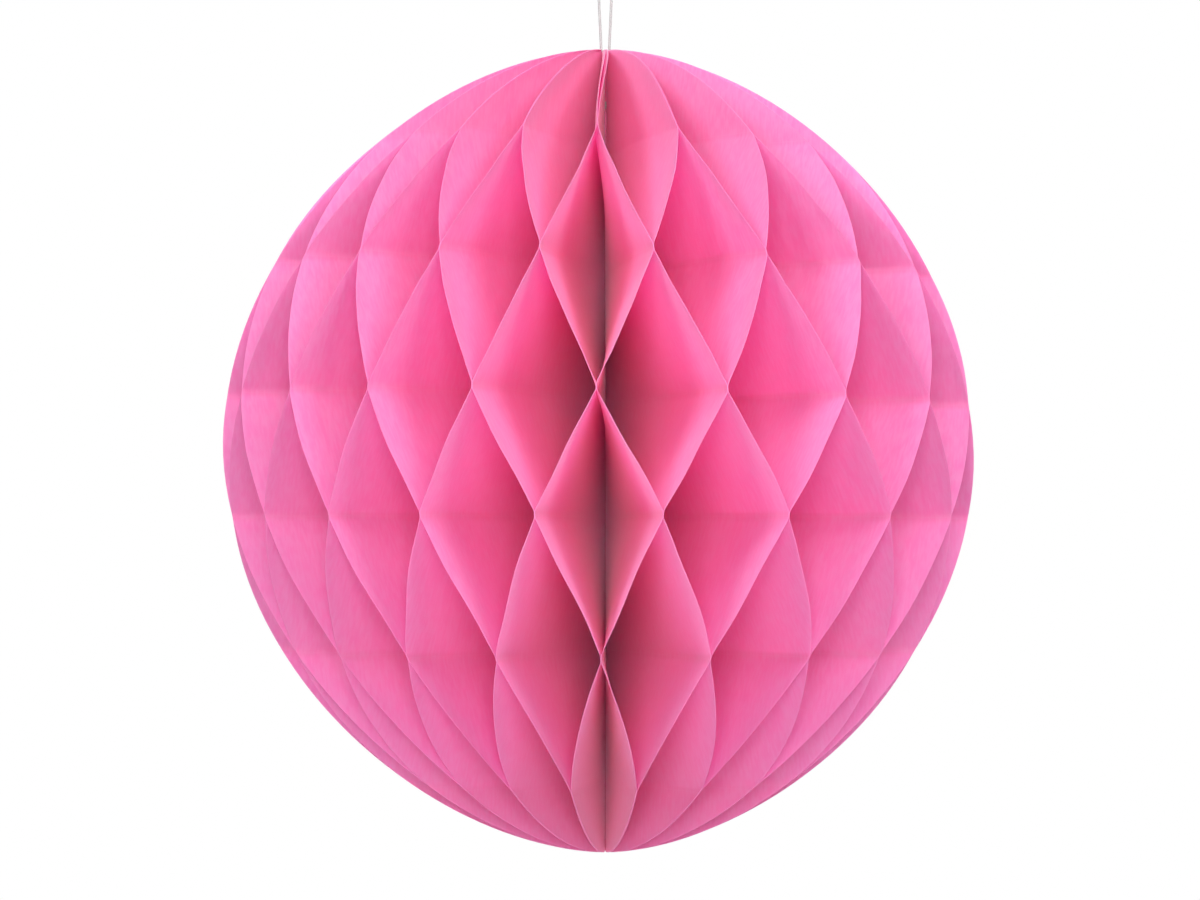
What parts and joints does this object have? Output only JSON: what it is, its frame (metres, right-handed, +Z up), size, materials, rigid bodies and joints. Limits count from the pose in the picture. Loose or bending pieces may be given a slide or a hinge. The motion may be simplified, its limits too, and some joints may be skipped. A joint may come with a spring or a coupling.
{
  "type": "paper honeycomb ball",
  "caption": "Hanging ball of pink tissue leaves glued in a honeycomb round an upright spine, which opens from a flat half disc; it hangs from a white cord loop.",
  "frame": {"origin": "inside of the top of the cord loop, where the ball hangs on a hook", "axes": "+Z up along the spine, -Y the front, +Y the seam where the two boards meet"},
  "size_m": [0.1864, 0.1864, 0.2365],
  "materials": {
    "tissue": "matt tissue paper",
    "card": "matt card",
    "adhesive_pad": "satin foam tape",
    "thread": "matt sewing thread",
    "cord": "matt twisted cotton"
  },
  "bodies": {
    "spine": {"end_board_left": "card", "seam_pad_top": "adhesive_pad", "seam_pad_middle": "adhesive_pad", "seam_pad_bottom": "adhesive_pad", "spine_thread": "thread", "anchor_knot": "cord", "hanging_cord": "cord", "loop_knot": "cord"},
    "fan_01": {"leaf_01": "tissue"},
    "fan_02": {"leaf_02": "tissue"},
    "fan_03": {"leaf_03": "tissue"},
    "fan_04": {"leaf_04": "tissue"},
    "fan_05": {"leaf_05": "tissue"},
    "fan_06": {"leaf_06": "tissue"},
    "fan_07": {"leaf_07": "tissue"},
    "fan_08": {"leaf_08": "tissue"},
    "fan_09": {"leaf_09": "tissue"},
    "fan_10": {"leaf_10": "tissue"},
    "fan_11": {"leaf_11": "tissue"},
    "fan_12": {"leaf_12": "tissue"},
    "fan_13": {"leaf_13": "tissue"},
    "fan_14": {"leaf_14": "tissue"},
    "fan_15": {"leaf_15": "tissue"},
    "fan_16": {"leaf_16": "tissue"},
    "fan_17": {"leaf_17": "tissue"},
    "fan_18": {"leaf_18": "tissue"},
    "fan_19": {"leaf_19": "tissue"},
    "fan_20": {"leaf_20": "tissue"},
    "fan_21": {"leaf_21": "tissue"},
    "fan_22": {"leaf_22": "tissue"},
    "fan_23": {"leaf_23": "tissue"},
    "fan_24": {"leaf_24": "tissue"},
    "fan_25": {"leaf_25": "tissue"},
    "fan_26": {"leaf_26": "tissue"},
    "fan_27": {"leaf_27": "tissue"},
    "fan_28": {"leaf_28": "tissue"},
    "fan_29": {"leaf_29": "tissue"},
    "fan_30": {"leaf_30": "tissue"},
    "fan_31": {"leaf_31": "tissue"},
    "fan_32": {"leaf_32": "tissue"},
    "fan_33": {"leaf_33": "tissue"},
    "fan_34": {"leaf_34": "tissue"},
    "fan_35": {"leaf_35": "tissue"},
    "fan_36": {"leaf_36": "tissue"},
    "fan_37": {"leaf_37": "tissue"},
    "fan_38": {"leaf_38": "tissue"},
    "fan_39": {"leaf_39": "tissue"},
    "fan_40": {"leaf_40": "tissue", "end_board_right": "card"}
  },
  "joints": [
    {"name": "fold_01", "type": "hinge", "parent": "spine", "child": "fan_01", "pos_m": [-0.00049, 0.00619, -0.136], "axis": [0, 0, 1], "range_deg": [-9.14, 0], "deforming": ["leaf_01"]},
    {"name": "fold_02", "type": "hinge", "parent": "fan_01", "child": "fan_02", "pos_m": [-0.00028, 0.00113, -0.136], "axis": [0, 0, 1], "range_deg": [-9.4, 0], "deforming": ["leaf_02"]},
    {"name": "fold_03", "type": "hinge", "parent": "fan_02", "child": "fan_03", "pos_m": [-0.00045, 0.00104, -0.136], "axis": [0, 0, 1], "range_deg": [-9.63, 0], "deforming": ["leaf_03"]},
    {"name": "fold_04", "type": "hinge", "parent": "fan_03", "child": "fan_04", "pos_m": [-0.00061, 0.00093, -0.136], "axis": [0, 0, 1], "range_deg": [-9.79, 0], "deforming": ["leaf_04"]},
    {"name": "fold_05", "type": "hinge", "parent": "fan_04", "child": "fan_05", "pos_m": [-0.00075, 0.00081, -0.136], "axis": [0, 0, 1], "range_deg": [-9.88, 0], "deforming": ["leaf_05"]},
    {"name": "fold_06", "type": "hinge", "parent": "fan_05", "child": "fan_06", "pos_m": [-0.00088, 0.00067, -0.136], "axis": [0, 0, 1], "range_deg": [-9.88, 0], "deforming": ["leaf_06"]},
    {"name": "fold_07", "type": "hinge", "parent": "fan_06", "child": "fan_07", "pos_m": [-0.00099, 0.00051, -0.136], "axis": [0, 0, 1], "range_deg": [-9.79, 0], "deforming": ["leaf_07"]},
    {"name": "fold_08", "type": "hinge", "parent": "fan_07", "child": "fan_08", "pos_m": [-0.00108, 0.00034, -0.136], "axis": [0, 0, 1], "range_deg": [-9.63, 0], "deforming": ["leaf_08"]},
    {"name": "fold_09", "type": "hinge", "parent": "fan_08", "child": "fan_09", "pos_m": [-0.00115, 0.00016, -0.136], "axis": [0, 0, 1], "range_deg": [-9.4, 0], "deforming": ["leaf_09"]},
    {"name": "fold_10", "type": "hinge", "parent": "fan_09", "child": "fan_10", "pos_m": [-0.00119, -0.00002, -0.136], "axis": [0, 0, 1], "range_deg": [-9.14, 0], "deforming": ["leaf_10"]},
    {"name": "fold_11", "type": "hinge", "parent": "fan_10", "child": "fan_11", "pos_m": [-0.00121, -0.00022, -0.136], "axis": [0, 0, 1], "range_deg": [-8.86, 0], "deforming": ["leaf_11"]},
    {"name": "fold_12", "type": "hinge", "parent": "fan_11", "child": "fan_12", "pos_m": [-0.0012, -0.00041, -0.136], "axis": [0, 0, 1], "range_deg": [-8.6, 0], "deforming": ["leaf_12"]},
    {"name": "fold_13", "type": "hinge", "parent": "fan_12", "child": "fan_13", "pos_m": [-0.00116, -0.0006, -0.136], "axis": [0, 0, 1], "range_deg": [-8.37, 0], "deforming": ["leaf_13"]},
    {"name": "fold_14", "type": "hinge", "parent": "fan_13", "child": "fan_14", "pos_m": [-0.00108, -0.00077, -0.136], "axis": [0, 0, 1], "range_deg": [-8.21, 0], "deforming": ["leaf_14"]},
    {"name": "fold_15", "type": "hinge", "parent": "fan_14", "child": "fan_15", "pos_m": [-0.00097, -0.00093, -0.136], "axis": [0, 0, 1], "range_deg": [-8.12, 0], "deforming": ["leaf_15"]},
    {"name": "fold_16", "type": "hinge", "parent": "fan_15", "child": "fan_16", "pos_m": [-0.00083, -0.00106, -0.136], "axis": [0, 0, 1], "range_deg": [-8.12, 0], "deforming": ["leaf_16"]},
    {"name": "fold_17", "type": "hinge", "parent": "fan_16", "child": "fan_17", "pos_m": [-0.00066, -0.00115, -0.136], "axis": [0, 0, 1], "range_deg": [-8.21, 0], "deforming": ["leaf_17"]},
    {"name": "fold_18", "type": "hinge", "parent": "fan_17", "child": "fan_18", "pos_m": [-0.00048, -0.00121, -0.136], "axis": [0, 0, 1], "range_deg": [-8.37, 0], "deforming": ["leaf_18"]},
    {"name": "fold_19", "type": "hinge", "parent": "fan_18", "child": "fan_19", "pos_m": [-0.00029, -0.00123, -0.136], "axis": [0, 0, 1], "range_deg": [-8.6, 0], "deforming": ["leaf_19"]},
    {"name": "fold_20", "type": "hinge", "parent": "fan_19", "child": "fan_20", "pos_m": [-0.0001, -0.00123, -0.136], "axis": [0, 0, 1], "range_deg": [-8.86, 0], "deforming": ["leaf_20"]},
    {"name": "fold_21", "type": "hinge", "parent": "fan_20", "child": "fan_21", "pos_m": [0.0001, -0.00119, -0.136], "axis": [0, 0, 1], "range_deg": [-9.14, 0], "deforming": ["leaf_21"]},
    {"name": "fold_22", "type": "hinge", "parent": "fan_21", "child": "fan_22", "pos_m": [0.00028, -0.00113, -0.136], "axis": [0, 0, 1], "range_deg": [-9.4, 0], "deforming": ["leaf_22"]},
    {"name": "fold_23", "type": "hinge", "parent": "fan_22", "child": "fan_23", "pos_m": [0.00045, -0.00104, -0.136], "axis": [0, 0, 1], "range_deg": [-9.63, 0], "deforming": ["leaf_23"]},
    {"name": "fold_24", "type": "hinge", "parent": "fan_23", "child": "fan_24", "pos_m": [0.00061, -0.00093, -0.136], "axis": [0, 0, 1], "range_deg": [-9.79, 0], "deforming": ["leaf_24"]},
    {"name": "fold_25", "type": "hinge", "parent": "fan_24", "child": "fan_25", "pos_m": [0.00075, -0.00081, -0.136], "axis": [0, 0, 1], "range_deg": [-9.88, 0], "deforming": ["leaf_25"]},
    {"name": "fold_26", "type": "hinge", "parent": "fan_25", "child": "fan_26", "pos_m": [0.00088, -0.00067, -0.136], "axis": [0, 0, 1], "range_deg": [-9.88, 0], "deforming": ["leaf_26"]},
    {"name": "fold_27", "type": "hinge", "parent": "fan_26", "child": "fan_27", "pos_m": [0.00099, -0.00051, -0.136], "axis": [0, 0, 1], "range_deg": [-9.79, 0], "deforming": ["leaf_27"]},
    {"name": "fold_28", "type": "hinge", "parent": "fan_27", "child": "fan_28", "pos_m": [0.00108, -0.00034, -0.136], "axis": [0, 0, 1], "range_deg": [-9.63, 0], "deforming": ["leaf_28"]},
    {"name": "fold_29", "type": "hinge", "parent": "fan_28", "child": "fan_29", "pos_m": [0.00115, -0.00016, -0.136], "axis": [0, 0, 1], "range_deg": [-9.4, 0], "deforming": ["leaf_29"]},
    {"name": "fold_30", "type": "hinge", "parent": "fan_29", "child": "fan_30", "pos_m": [0.00119, 0.00002, -0.136], "axis": [0, 0, 1], "range_deg": [-9.14, 0], "deforming": ["leaf_30"]},
    {"name": "fold_31", "type": "hinge", "parent": "fan_30", "child": "fan_31", "pos_m": [0.00121, 0.00022, -0.136], "axis": [0, 0, 1], "range_deg": [-8.86, 0], "deforming": ["leaf_31"]},
    {"name": "fold_32", "type": "hinge", "parent": "fan_31", "child": "fan_32", "pos_m": [0.0012, 0.00041, -0.136], "axis": [0, 0, 1], "range_deg": [-8.6, 0], "deforming": ["leaf_32"]},
    {"name": "fold_33", "type": "hinge", "parent": "fan_32", "child": "fan_33", "pos_m": [0.00116, 0.0006, -0.136], "axis": [0, 0, 1], "range_deg": [-8.37, 0], "deforming": ["leaf_33"]},
    {"name": "fold_34", "type": "hinge", "parent": "fan_33", "child": "fan_34", "pos_m": [0.00108, 0.00077, -0.136], "axis": [0, 0, 1], "range_deg": [-8.21, 0], "deforming": ["leaf_34"]},
    {"name": "fold_35", "type": "hinge", "parent": "fan_34", "child": "fan_35", "pos_m": [0.00097, 0.00093, -0.136], "axis": [0, 0, 1], "range_deg": [-8.12, 0], "deforming": ["leaf_35"]},
    {"name": "fold_36", "type": "hinge", "parent": "fan_35", "child": "fan_36", "pos_m": [0.00083, 0.00106, -0.136], "axis": [0, 0, 1], "range_deg": [-8.12, 0], "deforming": ["leaf_36"]},
    {"name": "fold_37", "type": "hinge", "parent": "fan_36", "child": "fan_37", "pos_m": [0.00066, 0.00115, -0.136], "axis": [0, 0, 1], "range_deg": [-8.21, 0], "deforming": ["leaf_37"]},
    {"name": "fold_38", "type": "hinge", "parent": "fan_37", "child": "fan_38", "pos_m": [0.00048, 0.00121, -0.136], "axis": [0, 0, 1], "range_deg": [-8.37, 0], "deforming": ["leaf_38"]},
    {"name": "fold_39", "type": "hinge", "parent": "fan_38", "child": "fan_39", "pos_m": [0.00029, 0.00123, -0.136], "axis": [0, 0, 1], "range_deg": [-8.6, 0], "deforming": ["leaf_39"]},
    {"name": "fold_40", "type": "hinge", "parent": "fan_39", "child": "fan_40", "pos_m": [0.00049, 0.00639, -0.136], "axis": [0, 0, 1], "range_deg": [-8.86, 0], "deforming": ["leaf_40"]}
  ],
  "couplings": [
    {"joint": "fold_02", "follows": "fold_01", "ratio": 1.029},
    {"joint": "fold_03", "follows": "fold_01", "ratio": 1.0537},
    {"joint": "fold_04", "follows": "fold_01", "ratio": 1.0717},
    {"joint": "fold_05", "follows": "fold_01", "ratio": 1.0811},
    {"joint": "fold_06", "follows": "fold_01", "ratio": 1.0811},
    {"joint": "fold_07", "follows": "fold_01", "ratio": 1.0717},
    {"joint": "fold_08", "follows": "fold_01", "ratio": 1.0537},
    {"joint": "fold_09", "follows": "fold_01", "ratio": 1.029},
    {"joint": "fold_10", "follows": "fold_01", "ratio": 1},
    {"joint": "fold_11", "follows": "fold_01", "ratio": 0.96948},
    {"joint": "fold_12", "follows": "fold_01", "ratio": 0.94045},
    {"joint": "fold_13", "follows": "fold_01", "ratio": 0.91575},
    {"joint": "fold_14", "follows": "fold_01", "ratio": 0.89781},
    {"joint": "fold_15", "follows": "fold_01", "ratio": 0.88838},
    {"joint": "fold_16", "follows": "fold_01", "ratio": 0.88838},
    {"joint": "fold_17", "follows": "fold_01", "ratio": 0.89781},
    {"joint": "fold_18", "follows": "fold_01", "ratio": 0.91575},
    {"joint": "fold_19", "follows": "fold_01", "ratio": 0.94045},
    {"joint": "fold_20", "follows": "fold_01", "ratio": 0.96948},
    {"joint": "fold_21", "follows": "fold_01", "ratio": 1},
    {"joint": "fold_22", "follows": "fold_01", "ratio": 1.029},
    {"joint": "fold_23", "follows": "fold_01", "ratio": 1.0537},
    {"joint": "fold_24", "follows": "fold_01", "ratio": 1.0717},
    {"joint": "fold_25", "follows": "fold_01", "ratio": 1.0811},
    {"joint": "fold_26", "follows": "fold_01", "ratio": 1.0811},
    {"joint": "fold_27", "follows": "fold_01", "ratio": 1.0717},
    {"joint": "fold_28", "follows": "fold_01", "ratio": 1.0537},
    {"joint": "fold_29", "follows": "fold_01", "ratio": 1.029},
    {"joint": "fold_30", "follows": "fold_01", "ratio": 1},
    {"joint": "fold_31", "follows": "fold_01", "ratio": 0.96948},
    {"joint": "fold_32", "follows": "fold_01", "ratio": 0.94045},
    {"joint": "fold_33", "follows": "fold_01", "ratio": 0.91575},
    {"joint": "fold_34", "follows": "fold_01", "ratio": 0.89781},
    {"joint": "fold_35", "follows": "fold_01", "ratio": 0.88838},
    {"joint": "fold_36", "follows": "fold_01", "ratio": 0.88838},
    {"joint": "fold_37", "follows": "fold_01", "ratio": 0.89781},
    {"joint": "fold_38", "follows": "fold_01", "ratio": 0.91575},
    {"joint": "fold_39", "follows": "fold_01", "ratio": 0.94045},
    {"joint": "fold_40", "follows": "fold_01", "ratio": 0.96948}
  ]
}
